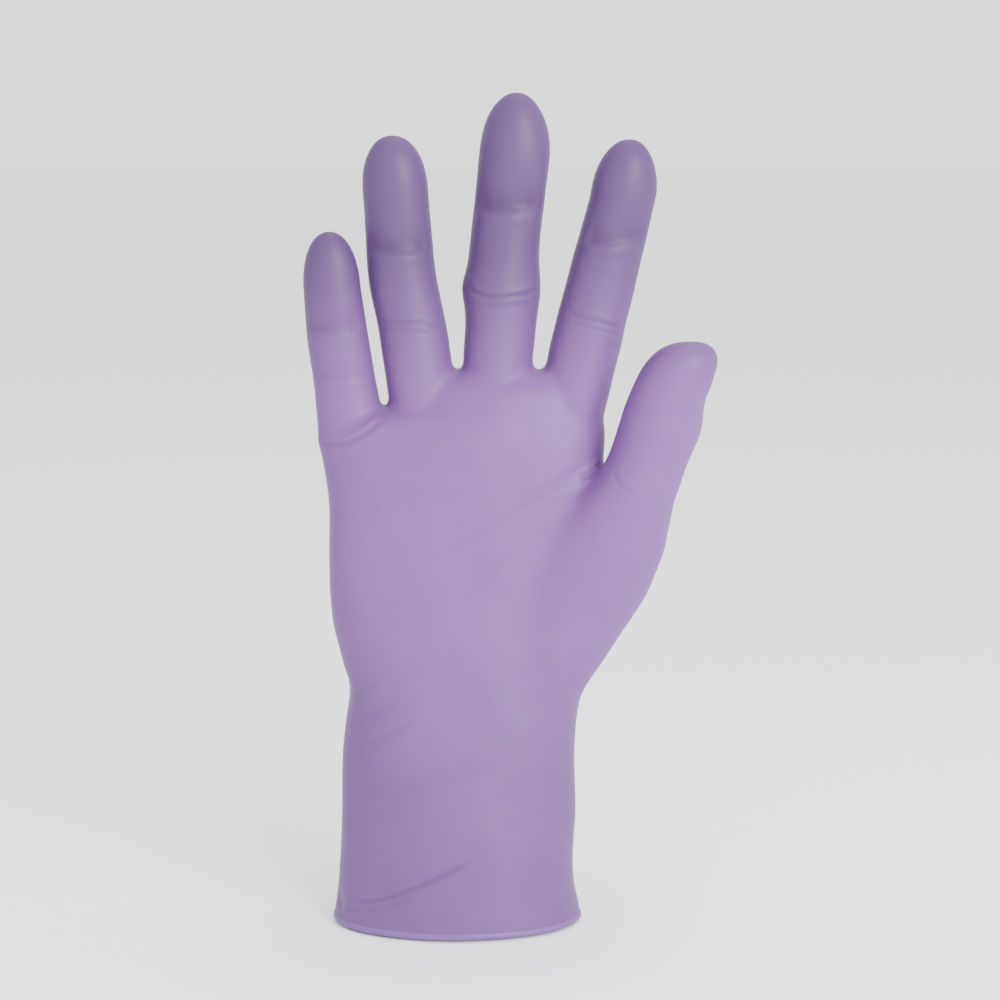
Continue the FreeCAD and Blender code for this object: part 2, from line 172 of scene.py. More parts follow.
def closed_tube(rings):
    """Points and faces of a tube with both ends closed."""
    points = np.vstack([oval(r) for r in rings])
    count = len(rings)
    faces = []
    for k in range(count - 1):
        for a in range(AROUND):
            b = (a + 1) % AROUND
            faces.append((k * AROUND + a, k * AROUND + b, (k + 1) * AROUND + b,
                          (k + 1) * AROUND + a))
    faces.append(tuple(range(AROUND - 1, -1, -1)))
    faces.append(tuple((count - 1) * AROUND + a for a in range(AROUND)))
    return points, faces


former_points, former_faces = [], []
tubes = {"palm": PALM_RINGS, **FINGER_RINGS}
for name, rings in tubes.items():
    every = smooth_rings(rings)
    if name in TIPS:
        every += rounded_end(every[-1], TIPS[name])
    points, faces = closed_tube(every)
    start = sum(len(p) for p in former_points)
    former_points.append(points)
    former_faces += [tuple(start + i for i in face) for face in faces]
mesh = bpy.data.meshes.new("former")
mesh.from_pydata((np.vstack(former_points) * MM).tolist(), [], former_faces)
former = bpy.data.objects.new("former", mesh)
bpy.context.collection.objects.link(former)
join = former.modifiers.new("join", "REMESH")
join.mode = "VOXEL"
join.voxel_size = GRID * MM
film_mesh = bpy.data.meshes.new_from_object(
    former.evaluated_get(bpy.context.evaluated_depsgraph_get()))
bpy.data.objects.remove(former)

count = len(film_mesh.vertices)
shape = np.empty(count * 3)
film_mesh.vertices.foreach_get("co", shape)
shape = shape.reshape(-1, 3) / MM
edges = np.empty(len(film_mesh.edges) * 2, int)
film_mesh.edges.foreach_get("vertices", edges)
one, two = edges.reshape(-1, 2).T
neighbours = np.bincount(edges, minlength=count)


def relax(points, share, rounds):
    """Moves each point towards the middle of its neighbours, by its own share."""
    share = np.broadcast_to(np.asarray(share, float), count)
    moving = np.abs(share) > 0.004
    near = moving[one] | moving[two]
    first, second = one[near], two[near]
    step = (share / neighbours)[moving]
    rest = share[moving]
    points = points.copy()
    for _ in range(rounds):
        for k in range(3):
            line = points[:, k]
            middle = (np.bincount(first, line[second], count)
                      + np.bincount(second, line[first], count))[moving]
            points[moving, k] += middle * step - line[moving] * rest
    return points


def film_normals(points):
    """The outward direction at each point."""
    film_mesh.vertices.foreach_set("co", (points * MM).ravel())
    film_mesh.update()
    out = np.empty(count * 3)
    film_mesh.vertex_normals.foreach_get("vector", out)
    return out.reshape(-1, 3)


# the grid's steps are evened out: each round in and out again, so that the tips don't shrink
IN, OUT = 0.55, -0.57
for _ in range(5):
    shape = relax(shape, IN, 1)
    shape = relax(shape, OUT, 1)
# the nearly straight walls of the cuff and wrist need more rounds, which fade out up the hand
WALL_TOP, WALL_FADE = 84, 20
lower = np.clip((WALL_TOP - shape[:, 2]) / WALL_FADE, 0, 1)
shape = relax(shape, 0.5, 14)
shape = relax(shape, 0.6 * lower, 50)
# the webs are drawn into rounded saddles: (x, y, z, reach, rounds)
WEBS = [(-20.0, 0.0, 146.0, 4.6, 24), (-0.6, 0.0, 156.6, 4.6, 24), (23.0, 0.0, 158.0, 4.6, 24),
        (41.5, -8.0, 130.0, 6.0, 24)]
for x, y, z, reach, rounds in WEBS:
    away = np.hypot(shape[:, 0] - x, shape[:, 2] - z) / reach
    shape = relax(shape, 0.6 * np.exp(-away ** 4), rounds)
# the palm's flanks blend into the thumb's mount and the finger roots
PALM_HEIGHT, PALM_REACH = 96, 40
soft = np.exp(-((shape[:, 2] - PALM_HEIGHT) / PALM_REACH) ** 6) * 0.6
shape = relax(shape, soft, 120)
normal = film_normals(shape)

# ---------------------------------------------------------------------------------------------
# Creases: the flexion folds, the ridges the roots of the fingers leave, and the diagonal folds
# of the wrist and cuff. Each is a line of (x, z) points in millimetres on the palm side, with
# its depth, half width, the height of its lip and, where the film slopes down to it from
# above, how far up that slope starts.
FOLDS = [
    # little finger
    ([(-44.0, 169.6), (-35.0, 169.4), (-25.5, 170.6)], 0.55, 1.1, 0.16, 4.0),
    ([(-42.0, 156.3), (-33.0, 156.0), (-23.0, 157.0)], 0.30, 1.0, 0.16, 3.0),
    ([(-39.5, 137.7), (-31.8, 138.0), (-26.1, 140.8), (-19.7, 145.6)], 0.30, 0.7, 0.34),
    # ring finger
    ([(-26.5, 191.8), (-16.0, 191.5), (-6.0, 192.6)], 0.80, 1.3, 0.22, 5.5),
    ([(-23.5, 171.8), (-17.4, 171.6), (-11.0, 171.3), (-4.6, 170.2)], 0.30, 0.6, 0.20),
    ([(-22.5, 169.8), (-14.0, 169.5), (-6.0, 168.2)], 0.24, 0.6, 0.14),
    # middle finger
    ([(3.4, 203.6), (14.0, 203.2), (24.6, 204.4)], 1.00, 1.7, 0.26, 7.0),
    ([(1.8, 181.2), (6.4, 179.4), (12.0, 178.7), (18.0, 179.3), (23.0, 180.8)], 0.34, 0.6, 0.55),
    ([(2.6, 176.4), (12.0, 175.9), (21.0, 176.9)], 0.14, 0.8, 0.08),
    # index finger
    ([(33.8, 194.4), (43.0, 193.8), (54.0, 195.6)], 0.78, 1.3, 0.22, 5.5),
    ([(29.6, 174.6), (38.0, 171.9), (47.4, 169.4)], 0.30, 0.7, 0.26),
    ([(31.0, 172.0), (38.5, 169.9), (46.4, 167.6)], 0.22, 0.6, 0.14),
    ([(40.6, 165.1), (43.2, 164.6), (46.4, 164.6)], 0.22, 0.6, 0.12),
    # thumb and the folds that run from its crotch into the palm
    ([(46.4, 149.4), (56.0, 147.6), (66.0, 147.4)], 0.16, 2.0, 0.08, 5.0),
    ([(42.5, 131.8), (44.6, 128.0), (48.0, 125.6)], 0.20, 0.7, 0.14),
    ([(41.8, 133.4), (38.0, 130.2), (33.4, 128.2)], 0.42, 0.8, 0.32),
    ([(40.6, 128.6), (36.4, 126.6), (31.0, 123.4), (24.0, 121.0)], 0.18, 0.9, 0.14),
    ([(33.0, 128.6), (20.0, 122.4), (8.0, 115.4), (-6.0, 107.4)], 0.13, 1.4, 0.10),
    ([(26.0, 116.4), (14.0, 108.2), (2.0, 98.0)], 0.09, 1.6, 0.07),
    ([(-28.0, 128.0), (-12.0, 124.0), (6.0, 125.0)], 0.06, 2.0, 0.05),
    ([(36.0, 132.0), (24.0, 127.0), (12.0, 122.0)], 0.10, 1.0, 0.08),
    # wrist and cuff
    ([(-31.5, 66.2), (-27.0, 68.6), (-22.6, 71.6)], 0.18, 0.8, 0.12),
    ([(-26.4, 53.2), (-19.0, 57.0), (-11.6, 61.4)], 0.15, 1.1, 0.10),
    ([(-29.0, 59.0), (-22.0, 63.4), (-16.0, 67.6)], 0.10, 1.3, 0.08),
    ([(10.0, 60.6), (20.0, 55.4), (31.0, 53.0)], 0.08, 2.0, 0.06),
    ([(-20.0, 40.0), (-6.0, 46.0), (12.0, 50.0)], 0.08, 2.4, 0.06),
    ([(-32.0, 8.0), (-23.9, 9.6), (-18.8, 11.5), (-13.8, 13.8), (-6.2, 17.4), (4.4, 22.6)],
     0.42, 0.8, 0.32),
    ([(-33.0, 5.0), (-25.0, 6.8), (-18.0, 9.2), (-11.0, 12.4)], 0.18, 1.4, 0.14),
]
# the same on the back of the hand, where the film lies smoother
BACK_FOLDS = [
    ([(-42.0, 158.6), (-32.4, 159.4), (-23.4, 159.0)], 0.20, 0.8, 0.16),
    ([(-41.0, 156.0), (-32.0, 156.6), (-24.0, 156.4)], 0.16, 0.8, 0.12),
    ([(-22.6, 172.4), (-13.0, 173.4), (-4.6, 172.2)], 0.22, 0.8, 0.18),
    ([(-21.8, 169.4), (-12.6, 170.2), (-4.8, 169.4)], 0.18, 0.8, 0.12),
    ([(2.6, 182.6), (12.4, 183.8), (22.4, 182.8)], 0.24, 0.8, 0.20),
    ([(3.0, 179.2), (12.2, 180.0), (21.8, 179.4)], 0.18, 0.8, 0.12),
    ([(30.4, 174.8), (38.4, 174.6), (47.0, 171.4)], 0.22, 0.8, 0.18),
    ([(30.0, 171.8), (37.8, 171.4), (46.4, 168.4)], 0.16, 0.8, 0.12),
    ([(46.6, 151.0), (56.4, 151.0), (66.0, 148.6)], 0.18, 0.9, 0.12),
    ([(46.0, 147.6), (55.6, 147.4), (64.6, 145.0)], 0.14, 0.9, 0.10),
    ([(41.0, 130.6), (33.0, 122.0), (27.0, 110.0)], 0.24, 1.2, 0.18),
    ([(43.6, 128.6), (38.6, 119.0), (35.6, 108.0)], 0.20, 1.1, 0.14),
    ([(-30.0, 70.4), (-14.0, 66.0), (2.0, 68.6)], 0.16, 1.3, 0.12),
    ([(30.6, 74.6), (18.0, 69.0), (4.0, 66.0)], 0.18, 1.3, 0.13),
    ([(31.0, 61.0), (16.0, 58.6), (-2.0, 62.4)], 0.12, 1.6, 0.09),
    ([(33.0, 12.0), (20.0, 14.6), (6.0, 20.4), (-4.0, 27.4)], 0.32, 0.9, 0.24),
    ([(-33.0, 9.0), (-24.0, 10.6), (-14.0, 14.6)], 0.20, 1.1, 0.15),
]
# small hollows and bulges on the outline: (x, y, z, reach, depth)
DENTS = [
    (68.5, -17.0, 150.0, 4.5, 0.7), (67.0, -14.0, 141.0, 4.0, -0.3),
    (64.8, -13.0, 132.0, 4.0, 0.3), (62.0, -10.0, 121.0, 4.0, 0.5), (60.6, -9.0, 113.5, 4.0, 0.3),
    (-32.0, -2.0, 67.5, 4.5, 0.9), (-33.6, -6.0, 6.2, 2.6, 0.9), (0.5, -3.0, 181.0, 4.0, -0.7),
    (-38.6, -3.0, 138.0, 3.0, -0.5), (44.0, 0.0, 170.5, 4.0, 0.4),
]


def curve_through(line, per=6):
    """Points on a smooth curve through a short line of points."""
    table = np.array(line, float)
    full = np.vstack([2 * table[0] - table[1], table, 2 * table[-1] - table[-2]])
    steps = (np.arange(per) / per)[:, None]
    out = [0.5 * (2 * b + (c - a) * steps + (2 * a - 5 * b + 4 * c - d) * steps ** 2
                  + (3 * b - a - 3 * c + d) * steps ** 3)
           for a, b, c, d in zip(full, full[1:], full[2:], full[3:])]
    return np.vstack(out + [table[-1:]])


def beside(points, line):
    """Signed distance from a line, positive above it, and the place along it from 0 to 1."""
    path = curve_through(line)
    piece = np.hypot(*(path[1:] - path[:-1]).T)
    run = np.concatenate([[0.0], np.cumsum(piece)])
    best = np.full(len(points), 1e9)
    place = np.zeros(len(points))
    for k in range(len(piece)):
        along = (path[k + 1] - path[k]) / piece[k]
        off = points - path[k]
        t = np.clip(off @ along, 0, piece[k])
        gap = off - t[:, None] * along
        distance = np.hypot(gap[:, 0], gap[:, 1])
        closer = distance < np.abs(best)
        side = np.where(gap[:, 1] >= 0, 1.0, -1.0)
        best[closer] = (distance * side)[closer]
        place[closer] = ((run[k] + t) / run[-1])[closer]
    return best, place


def hump(t):
    """A smooth rise and fall about nought."""
    return np.exp(-t * t)


def ease(t):
    """From 0 to 1 with a soft start and end."""
    t = np.clip(t, 0, 1)
    return t * t * (3 - 2 * t)


TURNED_AWAY = 0.25   # a crease fades out where the film turns this far from its side
FADE_OUT = 0.16      # and over this share of its length at each end
lift = np.zeros(count)
# painted shade: how much each crease darkens the film's colour
painted_crease_shade = np.zeros(count)
for folds, side in ((FOLDS, -1.5), (BACK_FOLDS, 1.5)):
    facing = ease(side * normal[:, 1] - TURNED_AWAY)
    for line, depth, half, lip, *slope in folds:
        xs, zs = [p[0] for p in line], [p[1] for p in line]
        near = ((shape[:, 0] > min(xs) - 6) & (shape[:, 0] < max(xs) + 6)
                & (shape[:, 2] > min(zs) - 9) & (shape[:, 2] < max(zs) + 16) & (facing > 0))
        away, place = beside(shape[near][:, [0, 2]], line)
        share = facing[near] * ease(np.minimum(place, 1 - place) / FADE_OUT)
        upper = slope[0] if slope else half
        over = 0.0 if slope else lip * hump((away - 1.9 * half) / half)
        under = (1.0 if slope else 0.5) * lip * hump((away + 2.1 * half) / half)
        well = hump(away / np.where(away > 0, upper, half))
        lift[near] += share * (over + under - depth * well)
        # the painted shade of each crease, darkest in its middle
        shaded = depth * (0.5 if slope else 1.0) * hump(
            away / np.where(away > 0, 0.6 * upper, 0.8 * half))
        painted_crease_shade[near] = np.maximum(painted_crease_shade[near], share * shaded)
for x, y, z, reach, depth in DENTS:
    away = np.linalg.norm(shape - (x, y, z), axis=1) / reach
    lift -= depth * hump(away)
# the slack of a film that no hand fills: long shallow waves, most of them running up the hand
WAVES, WAVE_HEIGHT = 26, 0.0055
waves = np.random.default_rng(7)
for _ in range(WAVES):
    length = waves.uniform(9, 34)
    heading = waves.normal(size=3) * (1.0, 0.7, 0.45)
    heading /= np.linalg.norm(heading)
    lift += WAVE_HEIGHT * length ** 0.6 * np.sin(
        shape @ heading * 2 * math.pi / length + waves.uniform(0, 6.28))
# soft pleats across the wrist and the lower palm, where the former is narrowest
PLEATS, PLEATS_REACH, PLEAT_DEPTH = 66, 26, 0.10
slack = hump((shape[:, 2] - PLEATS) / PLEATS_REACH) * (0.5 + 0.5 * np.sin(shape[:, 0] * 0.11 + 1.0))
across = shape[:, 2] * 0.83 - shape[:, 0] * 0.52
lift += PLEAT_DEPTH * slack * np.sin(across * 0.66 + 1.4 * np.sin(shape[:, 0] * 0.09 + 0.5))
shape = shape + normal * lift[:, None]
shape = relax(shape, 0.35, 1)
normal = film_normals(shape)

# ---------------------------------------------------------------------------------------------
# The film is cut where its zones meet: level cuts at the cuff, wrist and heel of the hand, a
# sloping cut below the knuckles, and cuts across each finger and the thumb. The cut points lie
# halfway between the joints, so each piece bends across one joint only.
film_mesh.attributes.new("outward", "FLOAT_VECTOR", "POINT").data.foreach_set(
    "vector", normal.ravel())
# the painted crease shade is carried through the cuts as well
film_mesh.attributes.new("painted_crease_shade", "FLOAT", "POINT").data.foreach_set("value", painted_crease_shade)
THICK = 0.2          # film thickness
RIM = 2.0            # height where the film runs into its rolled bead
WRIST, HEEL = 60.5, 77.0
KNUCKLE_CUT = ((6.75, 0.0, 128.7), (-0.184, 0.0, 0.983))
THUMB_LINE = ((42.0, -7.0, 133.0), (0.30, -0.20, 0.93))
# for each finger: a point and direction for the cut at its web, how far above it the two other
# cuts lie, and where its three bends start and end
FINGER_LINES = {
    "index": ((23.0, 0.0, 159.2), (0.1668, 0.0, 0.986), (10.6, 29.0),
              ((0.2, 8.8), (10.8, 19.0), (32.6, 43.8))),
    "middle": ((23.0, 0.0, 159.2), (0.0349, 0.0, 0.9994), (12.6, 35.0),
               ((0.2, 8.6), (16.0, 27.0), (40.0, 52.0))),
    "ring": ((-0.6, 0.0, 158.2), (-0.0576, 0.0, 0.9983), (9.0, 26.0),
             ((0.2, 8.2), (9.2, 17.6), (29.8, 41.0))),
    "little": ((-20.0, 0.0, 148.0), (-0.061, 0.0, 0.9981), (7.0, 18.4),
               ((0.2, 6.8), (7.2, 14.4), (18.8, 28.6))),
}
THUMB_STEP = 14.0    # from the thumb's root cut to its second cut
FINGERS = ("little", "ring", "middle", "index")
FINGER_ROOTS = 138   # no finger film lies below this height
# the gaps between the fingers: x and z at the web, and how each gap leans
GAPS = ((-20, 146, -0.150), (-0.6, 157, -0.021), (23, 158, 0.149))
NEAR_CUT = 2.5       # only faces this near a plane are cut, which saves time


def above(points, spot, way):
    """Height of each point over a plane."""
    way = np.array(way) / np.linalg.norm(way)
    return (points - np.array(spot)) @ way


def on_thumb(points):
    """Whether each point is on the thumb's side of its web."""
    x, y, z = points.T
    return (z > 122) & (0.75 * (x - 43) - 0.66 * y - 0.3 * (z - 130) > 2.2)


def finger_at(points):
    """0 little, 1 ring, 2 middle, 3 index, by the gaps between them."""
    x, _, z = points.T
    return sum((x > web + (z - foot) * lean).astype(int) for web, foot, lean in GAPS)


film = bmesh.new()
film.from_mesh(film_mesh)


def cut(spot, way, wanted, drop=False):
    """Cuts the wanted faces near a plane; drop also removes what lies under it."""
    film.faces.ensure_lookup_table()
    middles = np.array([f.calc_center_median() for f in film.faces]) / MM
    height = above(middles, spot, way)
    near = np.abs(height) < NEAR_CUT
    faces = [film.faces[i] for i in np.flatnonzero((near | drop) & wanted(middles))]
    parts = set(faces)
    for face in faces:
        parts.update(face.verts)
        parts.update(face.edges)
    bmesh.ops.bisect_plane(film, geom=list(parts), dist=1e-7, plane_co=Vector(spot) * MM,
                           plane_no=Vector(way), clear_inner=drop)


def everywhere(points):
    return np.ones(len(points), bool)


cut((0, 0, RIM), (0, 0, 1), everywhere, drop=True)
cut((0, 0, WRIST), (0, 0, 1), everywhere)
cut((0, 0, HEEL), (0, 0, 1), everywhere)
cut(*KNUCKLE_CUT, lambda p: ~on_thumb(p))
cut(*THUMB_LINE, on_thumb)
way = Vector(THUMB_LINE[1]).normalized()
cut(Vector(THUMB_LINE[0]) + way * THUMB_STEP, way, on_thumb)
for number, name in enumerate(FINGERS):
    spot, way, upper, _ = FINGER_LINES[name]
    for step in (0.0, *upper):
        cut(Vector(spot) + Vector(way) * step, way,
            lambda p: (finger_at(p) == number) & ~on_thumb(p) & (p[:, 2] > FINGER_ROOTS))
bmesh.ops.triangulate(film, faces=film.faces[:])
bpy.data.meshes.remove(film_mesh)
cut_mesh = bpy.data.meshes.new("cut film")
film.to_mesh(cut_mesh)
film.free()

total = len(cut_mesh.vertices)
skin = np.empty(total * 3)
cut_mesh.vertices.foreach_get("co", skin)
skin = skin.reshape(-1, 3) / MM
outward = np.empty(total * 3)
cut_mesh.attributes["outward"].data.foreach_get("vector", outward)
outward = outward.reshape(-1, 3)
outward /= np.linalg.norm(outward, axis=1)[:, None]
crease_shade_values = np.empty(total)
cut_mesh.attributes["painted_crease_shade"].data.foreach_get("value", crease_shade_values)
corners = np.empty(len(cut_mesh.loops), int)
cut_mesh.loops.foreach_get("vertex_index", corners)
corners = corners.reshape(-1, 3)
bpy.data.meshes.remove(cut_mesh)

middle = skin[corners].mean(axis=1)
thumb = on_thumb(middle) & (above(middle, *THUMB_LINE) > 0)
thumb_end = thumb & (above(middle, *THUMB_LINE) > THUMB_STEP)
label = np.where(middle[:, 2] < WRIST, "glove_cuff", "glove_wrist").astype(object)
label[middle[:, 2] > HEEL] = "glove_palm"
label[(above(middle, *KNUCKLE_CUT) > 0) & ~on_thumb(middle)] = "glove_knuckle"
for number, name in enumerate(FINGERS):
    spot, way, (first, second), _ = FINGER_LINES[name]
    height = above(middle, spot, way)
    mine = (finger_at(middle) == number) & ~on_thumb(middle) & (middle[:, 2] > FINGER_ROOTS)
    label[mine & (height > 0)] = f"glove_{name}_root"
    label[mine & (height > first)] = f"glove_{name}_middle"
    label[mine & (height > second)] = f"glove_{name}_tip"
label[thumb] = "glove_thumb_root"
label[thumb_end] = "glove_thumb_tip"

# ---------------------------------------------------------------------------------------------
# Material of the film: soft lavender nitrile with a satin skin. One node group gives its tone,
# which clouds slightly where the dip ran thicker, with painted shade that darkens it towards the
# fingertips, down the wrist and cuff and in the creases; another gives the fine grain of the
# surface.


FIRST, SECOND, MIXED = 6, 7, 2   # the colour sockets of a mix node


def link(tree, start, end):
    tree.links.new(start, end)


def tone_group():
    """Film tone with painted shade: a light and a deep tone and the painted shade of a crease in,
    the colour out.
    """
    tree = bpy.data.node_groups.new("film tone", "ShaderNodeTree")
    for name, kind in (("Light", "NodeSocketColor"), ("Deep", "NodeSocketColor"),
                       ("Crease Shade", "NodeSocketFloat")):
        tree.interface.new_socket(name, in_out="INPUT", socket_type=kind)
    tree.interface.new_socket("Color", in_out="OUTPUT", socket_type="NodeSocketColor")
    into = tree.nodes.new("NodeGroupInput")
    out = tree.nodes.new("NodeGroupOutput")
    where = tree.nodes.new("ShaderNodeTexCoord")
    cloud = tree.nodes.new("ShaderNodeTexNoise")
    cloud.inputs["Scale"].default_value = 24
    cloud.inputs["Detail"].default_value = 2.5
    # the deep tone comes in a little with the cloud; as painted shade it comes in more down the
    # wrist and cuff, and most of all towards the fingertips
    spread = tree.nodes.new("ShaderNodeMapRange")
    spread.inputs["From Min"].default_value = 0.35
    spread.inputs["From Max"].default_value = 0.65
    spread.inputs["To Max"].default_value = 0.16
    parts = tree.nodes.new("ShaderNodeSeparateXYZ")
    # painted shade: darker down the wrist and cuff
    rise = tree.nodes.new("ShaderNodeMapRange")
    rise.inputs["From Min"].default_value = 0.085
    rise.inputs["From Max"].default_value = 0.045
    rise.inputs["To Max"].default_value = 0.42
    # painted shade: darker towards the fingertips
    tips = tree.nodes.new("ShaderNodeMapRange")
    tips.interpolation_type = "SMOOTHSTEP"
    tips.inputs["From Min"].default_value = 0.142
    tips.inputs["From Max"].default_value = 0.196
    tips.inputs["To Max"].default_value = 0.92
    add = tree.nodes.new("ShaderNodeMath")
    add.operation = "ADD"
    sum_up = tree.nodes.new("ShaderNodeMath")
    sum_up.operation = "ADD"
    sum_up.use_clamp = True
    blend = tree.nodes.new("ShaderNodeMix")
    blend.data_type = "RGBA"
    # painted shade: the creases are darkened by multiplying in this colour
    crease_shade_mix = tree.nodes.new("ShaderNodeMix")
    crease_shade_mix.data_type = "RGBA"
    crease_shade_mix.blend_type = "MULTIPLY"
    crease_shade_mix.inputs[SECOND].default_value = (0.50, 0.42, 0.52, 1)
    link(tree, where.outputs["Object"], cloud.inputs["Vector"])
    link(tree, where.outputs["Object"], parts.inputs[0])
    link(tree, cloud.outputs["Fac"], spread.inputs["Value"])
    link(tree, parts.outputs["Z"], rise.inputs["Value"])
    link(tree, parts.outputs["Z"], tips.inputs["Value"])
    link(tree, spread.outputs[0], add.inputs[0])
    link(tree, rise.outputs[0], add.inputs[1])
    link(tree, add.outputs[0], sum_up.inputs[0])
    link(tree, tips.outputs[0], sum_up.inputs[1])
    link(tree, sum_up.outputs[0], blend.inputs[0])
    link(tree, into.outputs["Light"], blend.inputs[FIRST])
    link(tree, into.outputs["Deep"], blend.inputs[SECOND])
    link(tree, into.outputs["Crease Shade"], crease_shade_mix.inputs[0])
    link(tree, blend.outputs[MIXED], crease_shade_mix.inputs[FIRST])
    link(tree, crease_shade_mix.outputs[MIXED], out.inputs["Color"])
    return tree


def grain_group():
    """Film grain: the surface direction, with the fine roughness of a dipped film."""
    tree = bpy.data.node_groups.new("film grain", "ShaderNodeTree")
    tree.interface.new_socket("Strength", in_out="INPUT", socket_type="NodeSocketFloat")
    tree.interface.new_socket("Normal", in_out="OUTPUT", socket_type="NodeSocketVector")
    into = tree.nodes.new("NodeGroupInput")
    out = tree.nodes.new("NodeGroupOutput")
    where = tree.nodes.new("ShaderNodeTexCoord")
    fine = tree.nodes.new("ShaderNodeTexNoise")
    fine.inputs["Scale"].default_value = 1500
    fine.inputs["Detail"].default_value = 2
    broad = tree.nodes.new("ShaderNodeTexNoise")
    broad.inputs["Scale"].default_value = 130
    broad.inputs["Detail"].default_value = 3
    small = tree.nodes.new("ShaderNodeBump")
    small.inputs["Distance"].default_value = 0.00012
    large = tree.nodes.new("ShaderNodeBump")
    large.inputs["Distance"].default_value = 0.0007
    large.inputs["Strength"].default_value = 0.10
    link(tree, where.outputs["Object"], fine.inputs["Vector"])
    link(tree, where.outputs["Object"], broad.inputs["Vector"])
    link(tree, broad.outputs["Fac"], large.inputs["Height"])
    link(tree, fine.outputs["Fac"], small.inputs["Height"])
    link(tree, into.outputs["Strength"], small.inputs["Strength"])
    link(tree, large.outputs["Normal"], small.inputs["Normal"])
    link(tree, small.outputs["Normal"], out.inputs["Normal"])
    return tree


TONE, GRAIN = tone_group(), grain_group()


def film_material(name, light, deep, roughness):
    """A satin film in the given tones."""
    material = bpy.data.materials.new(name)
    material.use_nodes = True
    tree = material.node_tree
    skin_node = tree.nodes["Principled BSDF"]
    tone = tree.nodes.new("ShaderNodeGroup")
    tone.node_tree = TONE
    tone.inputs["Light"].default_value = (*light, 1)
    tone.inputs["Deep"].default_value = (*deep, 1)
    grain = tree.nodes.new("ShaderNodeGroup")
    grain.node_tree = GRAIN
    grain.inputs["Strength"].default_value = 0.25
    # the painted shade of the creases, read from the point attribute
    crease = tree.nodes.new("ShaderNodeAttribute")
    crease.attribute_name = "painted_crease_shade"
    link(tree, crease.outputs["Fac"], tone.inputs["Crease Shade"])
    link(tree, tone.outputs["Color"], skin_node.inputs["Base Color"])
    link(tree, grain.outputs["Normal"], skin_node.inputs["Normal"])
    skin_node.inputs["Roughness"].default_value = roughness
    skin_node.inputs["Specular IOR Level"].default_value = 0.22
    return material


lavender = film_material("lavender film", (0.146, 0.063, 0.226), (0.068, 0.034, 0.108), 0.50)
# the rolled bead is a little lighter and bluer than the film: partly its own tone, partly a painted
# highlight along the roll
rolled = film_material("rolled lavender film", (0.150, 0.076, 0.244), (0.112, 0.058, 0.192), 0.44)

# ---------------------------------------------------------------------------------------------
# The film's pieces: each is a thin closed shell, its inner face set off from the outer one. The
# shading directions come from the whole film, so the seams between pieces don't show.


def film_piece(name):
    """One labelled part of the film as a closed shell."""
    faces = corners[label == name]
    used, flat = np.unique(faces, return_inverse=True)
    faces = flat.reshape(-1, 3)
    size = len(used)
    away = outward[used]
    points = np.vstack([skin[used], skin[used] - away * THICK]) * MM
    sides = np.vstack([faces[:, [0, 1]], faces[:, [1, 2]], faces[:, [2, 0]]])
    rim = sides[~np.isin(sides[:, 0] * size + sides[:, 1], sides[:, 1] * size + sides[:, 0])]
    a, b = rim.T
    walls = np.vstack([np.stack([b, a, a + size], axis=1),
                       np.stack([b, a + size, b + size], axis=1)])
    every = np.vstack([faces, faces[:, ::-1] + size, walls])
    piece_mesh = bpy.data.meshes.new(name)
    piece_mesh.vertices.add(len(points))
    piece_mesh.vertices.foreach_set("co", points.ravel())
    piece_mesh.loops.add(every.size)
    piece_mesh.loops.foreach_set("vertex_index", every.ravel().astype(np.int32))
    piece_mesh.polygons.add(len(every))
    piece_mesh.polygons.foreach_set("loop_start", np.arange(0, every.size, 3, dtype=np.int32))
    piece_mesh.update(calc_edges=True)
    # the painted crease shade, the same on both faces of the shell
    piece_mesh.attributes.new("painted_crease_shade", "FLOAT", "POINT").data.foreach_set(
        "value", np.tile(np.clip(crease_shade_values[used], 0, 1), 2))
    edge_on = np.cross(points[walls[:, 1]] - points[walls[:, 0]],
                       points[walls[:, 2]] - points[walls[:, 0]])
    edge_on /= np.linalg.norm(edge_on, axis=1)[:, None] + 1e-20
    shading = np.vstack([away[faces.ravel()], -away[faces[:, ::-1].ravel()],
                         np.repeat(edge_on, 3, axis=0)])
    piece_mesh.normals_split_custom_set(shading)
    piece_mesh.materials.append(lavender)
    piece = bpy.data.objects.new(name, piece_mesh)
    bpy.context.collection.objects.link(piece)
    return piece


def bend(piece, lower, upper, start, end, *stands_for):
    """Hides the CAD nodes that the piece stands for and bakes its placement into its mesh; lower,
    upper, start and end are not used.
    """
    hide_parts(*stands_for)
    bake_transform(piece)


def up(spot, way, step):
    """The point a step up from a cut."""
    return Vector(spot) + Vector(way).normalized() * step


# heights between which the cuff bends and the wrist tilts, and distances from a cut between
# which the knuckles and the thumb bend
CUFF_BEND, WRIST_TILT = (33, 60.3), (60.8, 76.7)
KNUCKLE_BEND, THUMB_BENDS = (1.0, 17.5), ((0.3, 9.0), (15.2, 25.6))
bend(film_piece("glove_cuff"), "cuff", "wrist_band", (0, 0, CUFF_BEND[0]),
     (0, 0, CUFF_BEND[1]), "cuff", "wrist_fold_film")
bend(film_piece("glove_wrist"), "wrist_band", "hand", (0, 0, WRIST_TILT[0]),
     (0, 0, WRIST_TILT[1]), "wrist_band", "wrist_side_film")
